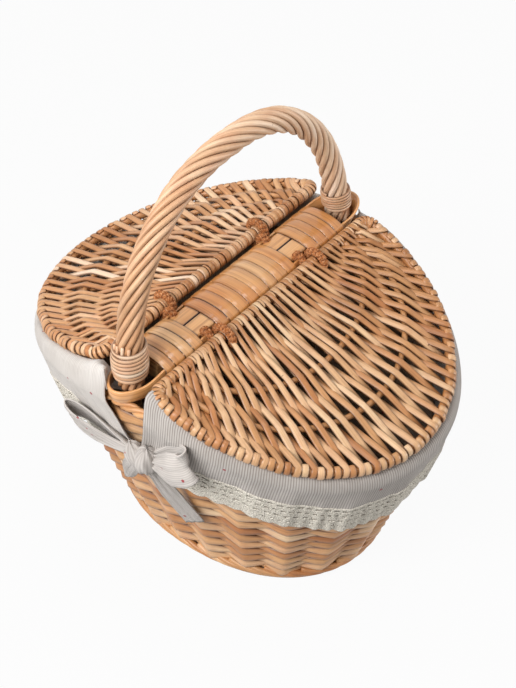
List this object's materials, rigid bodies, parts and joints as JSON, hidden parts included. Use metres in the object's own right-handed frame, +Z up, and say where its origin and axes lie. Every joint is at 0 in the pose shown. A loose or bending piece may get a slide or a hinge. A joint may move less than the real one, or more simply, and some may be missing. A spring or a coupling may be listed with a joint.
{
  "type": "picnic basket",
  "caption": "Oval woven willow picnic basket with hinged D-shaped lids, a splint-wrapped bridge, a roped arch handle and a tied linen liner with lace cuffs.",
  "frame": {"origin": "middle of the underside of the base, on the ground", "axes": "+Z up, +X along the bridge towards the far handle foot, -Y towards the front lid"},
  "size_m": [0.313, 0.381, 0.3921],
  "materials": {
    "willow": "varnished willow",
    "peeled_willow": "peeled willow",
    "bamboo": "varnished bamboo splint",
    "cane": "split cane",
    "coir": "coir cord",
    "linen": "light grey linen",
    "lace": "ecru lace"
  },
  "bodies": {
    "basket": {"base_panel": "willow", "side_wall": "willow", "foot_border": "peeled_willow", "rim_border": "peeled_willow", "handle_core": "peeled_willow", "bridge_core": "peeled_willow", "handle_rod_1": "peeled_willow", "handle_rod_2": "peeled_willow", "handle_rod_3": "peeled_willow", "handle_rod_4": "peeled_willow", "handle_rod_5": "peeled_willow", "handle_rod_6": "peeled_willow", "handle_rod_7": "peeled_willow", "handle_rod_8": "peeled_willow", "handle_rod_9": "peeled_willow", "bridge_band": "bamboo", "front_bridge_slat": "bamboo", "rear_bridge_slat": "bamboo", "left_splint_wrap": "bamboo", "centre_splint_wrap": "bamboo", "right_splint_wrap": "bamboo", "left_binding": "cane", "right_binding": "cane", "front_left_hinge_cord": "coir", "front_right_hinge_cord": "coir", "rear_left_hinge_cord": "coir", "rear_right_hinge_cord": "coir", "liner_floor": "linen", "liner_side": "linen", "front_cuff": "linen", "rear_cuff": "linen", "left_bow_knot": "linen", "left_bow_rear_loop": "linen", "left_bow_front_loop": "linen", "left_bow_long_tail": "linen", "left_bow_short_tail": "linen", "right_bow_knot": "linen", "right_bow_rear_loop": "linen", "right_bow_front_loop": "linen", "right_bow_long_tail": "linen", "right_bow_short_tail": "linen", "front_lace": "lace", "rear_lace": "lace"},
    "front_lid": {"front_lid_frame": "willow", "front_lid_inner_rib": "willow", "front_lid_outer_rib": "willow", "front_lid_hinge_weave": "willow", "front_lid_middle_weave": "willow", "front_lid_edge_weave": "willow"},
    "rear_lid": {"rear_lid_frame": "willow", "rear_lid_inner_rib": "willow", "rear_lid_outer_rib": "willow", "rear_lid_hinge_weave": "willow", "rear_lid_middle_weave": "willow", "rear_lid_edge_weave": "willow"}
  },
  "joints": [
    {"name": "front_lid_hinge", "type": "hinge", "parent": "basket", "child": "front_lid", "pos_m": [0, -0.0309, 0.242], "axis": [-1, 0, 0], "range_deg": [0, 115]},
    {"name": "rear_lid_hinge", "type": "hinge", "parent": "basket", "child": "rear_lid", "pos_m": [0, 0.0309, 0.242], "axis": [1, 0, 0], "range_deg": [0, 115]}
  ]
}
